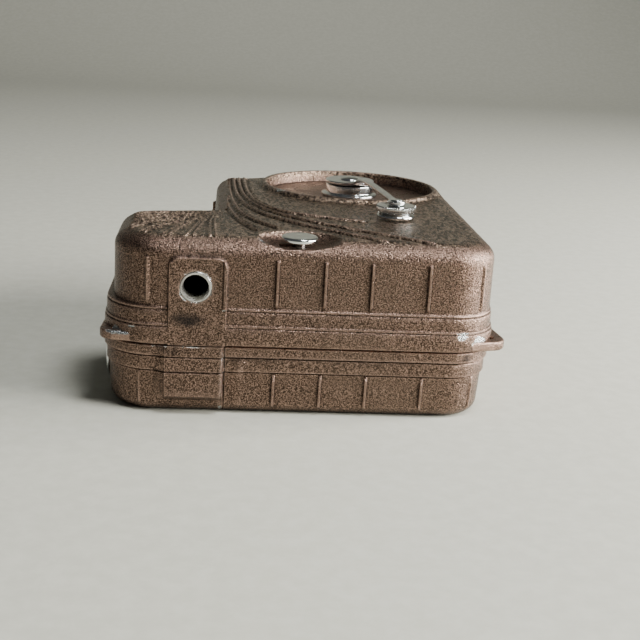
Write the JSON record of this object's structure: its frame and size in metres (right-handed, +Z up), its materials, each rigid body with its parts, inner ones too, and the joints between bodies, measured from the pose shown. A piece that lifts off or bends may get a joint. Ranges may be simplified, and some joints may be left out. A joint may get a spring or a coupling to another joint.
{
  "type": "spring-wound pocket cine camera",
  "caption": "Compact die-cast clockwork film camera with folding finder, winding crank in a round dish, sliding start button, strap lugs and tripod socket.",
  "frame": {"origin": "centre of the object's box, on the film door's outer face that it rests on", "axes": "+Z up through the winding crank, -X the way the lens looks, -Y out of the tripod socket"},
  "size_m": [0.0914, 0.1002, 0.0454],
  "materials": {
    "enamel": "bronze wrinkle enamel",
    "chrome": "polished",
    "steel": "satin",
    "brass": "lacquered",
    "blackened": "matt black",
    "glass": "polished"
  },
  "bodies": {
    "case": {"main_housing": "enamel", "front_cover": "enamel", "cover_screw_1": "steel", "cover_screw_2": "steel", "plate_screw_1": "steel", "plate_screw_2": "steel", "plate_screw_3": "steel", "tripod_bush": "steel", "lens_mount": "chrome", "lens_barrel": "blackened", "lens_front_element": "glass", "lens_rear_element": "glass", "mechanism_plate": "brass", "shutter_bridge": "brass", "aperture_plate": "blackened", "pressure_spring": "steel", "pawl_stud": "steel", "crank_bearing": "brass", "release_spring": "steel", "finder_base": "chrome", "finder_front_pin": "steel", "finder_rear_pin": "steel", "latch_post": "steel"},
    "door": {"film_door": "enamel"},
    "latch": {"latch_dial": "steel", "latch_bar": "steel"},
    "aperture": {"aperture_ring": "chrome"},
    "crank": {"crank_hub": "chrome", "crank_arm": "chrome", "crank_rivet": "steel", "crank_knob_pin": "steel", "winding_arbor": "steel", "ratchet_wheel": "steel"},
    "knob": {"crank_knob": "chrome"},
    "pawl": {"ratchet_pawl": "steel"},
    "motor": {"spring_barrel": "brass", "great_wheel": "brass", "mainspring": "steel"},
    "first_arbor": {"first_wheel": "brass"},
    "second_arbor": {"second_wheel": "brass"},
    "third_arbor": {"third_wheel": "brass"},
    "cam_arbor": {"camshaft": "steel"},
    "governor": {"governor_spindle": "steel", "governor_drum": "brass"},
    "shutter": {"shutter_shaft": "brass", "shutter_disc": "blackened"},
    "claw_slide": {"claw": "steel"},
    "gate_pad": {"pressure_pad": "steel"},
    "supply": {"supply_spindle": "steel", "supply_spool": "blackened"},
    "takeup": {"takeup_spindle": "steel", "takeup_spool": "blackened"},
    "upper_guide": {"upper_roller": "steel"},
    "lower_guide": {"lower_roller": "steel"},
    "release": {"start_button": "chrome", "release_slide": "steel"},
    "finder_front": {"finder_front_frame": "chrome", "finder_glass": "glass"},
    "finder_rear": {"finder_rear_frame": "chrome"}
  },
  "joints": [
    {"name": "door_lift", "type": "slide", "parent": "case", "child": "door", "axis": [0, 0, -1], "range_m": [0, 0.02]},
    {"name": "latch_turn", "type": "hinge", "parent": "door", "child": "latch", "pos_m": [0.0152, 0.00032, 0.0005], "axis": [0, 0, -1], "range_deg": [0, 90]},
    {"name": "aperture_turn", "type": "hinge", "parent": "case", "child": "aperture", "pos_m": [-0.0448, -0.03118, 0.012], "axis": [-1, 0, 0], "range_deg": [-40, 40]},
    {"name": "crank_turn", "type": "hinge", "parent": "case", "child": "crank", "pos_m": [0.0152, 0.02382, 0.042], "axis": [0, 0, 1], "continuous": true},
    {"name": "knob_spin", "type": "hinge", "parent": "crank", "child": "knob", "pos_m": [0.0223, -0.01898, 0.042], "axis": [0, 0, 1], "continuous": true},
    {"name": "pawl_click", "type": "hinge", "parent": "case", "child": "pawl", "pos_m": [0.0287, 0.02782, 0.0345], "axis": [0, 0, 1], "range_deg": [0, 10], "stiffness_Nm_per_rad": 0.003, "springref_deg": -2.86},
    {"name": "motor_spin", "type": "hinge", "parent": "case", "child": "motor", "pos_m": [0.0152, 0.02382, 0.027], "axis": [0, 0, 1], "continuous": true},
    {"name": "first_spin", "type": "hinge", "parent": "case", "child": "first_arbor", "pos_m": [0.00631, -0.00061, 0.03], "axis": [0, 0, 1], "continuous": true},
    {"name": "second_spin", "type": "hinge", "parent": "case", "child": "second_arbor", "pos_m": [0.00107, -0.01467, 0.03], "axis": [0, 0, 1], "continuous": true},
    {"name": "third_spin", "type": "hinge", "parent": "case", "child": "third_arbor", "pos_m": [-0.00904, -0.02113, 0.027], "axis": [0, 0, 1], "continuous": true},
    {"name": "cam_spin", "type": "hinge", "parent": "case", "child": "cam_arbor", "pos_m": [-0.0132, -0.03118, 0.027], "axis": [0, 0, 1], "continuous": true},
    {"name": "governor_spin", "type": "hinge", "parent": "case", "child": "governor", "pos_m": [-0.00129, -0.02764, 0.027], "axis": [0, 0, 1], "continuous": true},
    {"name": "shutter_spin", "type": "hinge", "parent": "case", "child": "shutter", "pos_m": [-0.0228, -0.03118, 0.0225], "axis": [1, 0, 0], "continuous": true},
    {"name": "claw_stroke", "type": "slide", "parent": "case", "child": "claw_slide", "axis": [0, 1, 0], "range_m": [-0.0019, 0.0019]},
    {"name": "gate_pad_lift", "type": "slide", "parent": "case", "child": "gate_pad", "axis": [1, 0, 0], "range_m": [0, 0.0012], "stiffness_N_per_m": 120, "springref_m": -0.001},
    {"name": "supply_spin", "type": "hinge", "parent": "case", "child": "supply", "pos_m": [0.0152, 0.02382, 0.012], "axis": [0, 0, 1], "continuous": true},
    {"name": "takeup_spin", "type": "hinge", "parent": "case", "child": "takeup", "pos_m": [0.0152, -0.02318, 0.012], "axis": [0, 0, 1], "continuous": true},
    {"name": "upper_guide_spin", "type": "hinge", "parent": "case", "child": "upper_guide", "pos_m": [-0.0162, -0.01458, 0.012], "axis": [0, 0, 1], "continuous": true},
    {"name": "lower_guide_spin", "type": "hinge", "parent": "case", "child": "lower_guide", "pos_m": [-0.0182, -0.04378, 0.012], "axis": [0, 0, 1], "continuous": true},
    {"name": "release_travel", "type": "slide", "parent": "case", "child": "release", "axis": [-1, 0, 0], "range_m": [0, 0.003], "stiffness_N_per_m": 250, "springref_m": -0.002},
    {"name": "finder_front_fold", "type": "hinge", "parent": "case", "child": "finder_front", "pos_m": [-0.01831, 0.03707, 0.0318], "axis": [0, 0, 1], "range_deg": [0, 90]},
    {"name": "finder_rear_fold", "type": "hinge", "parent": "case", "child": "finder_rear", "pos_m": [0.00092, 0.04645, 0.0318], "axis": [0, 0, -1], "range_deg": [0, 90]}
  ],
  "couplings": [
    {"joint": "motor_spin", "follows": "second_spin", "ratio": 0.059524},
    {"joint": "first_spin", "follows": "second_spin", "ratio": -0.25},
    {"joint": "third_spin", "follows": "second_spin", "ratio": -3},
    {"joint": "cam_spin", "follows": "second_spin", "ratio": 6.6667},
    {"joint": "governor_spin", "follows": "second_spin", "ratio": 8.5714},
    {"joint": "shutter_spin", "follows": "second_spin", "ratio": 3.3333},
    {"joint": "takeup_spin", "follows": "second_spin", "ratio": -0.22222}
  ]
}
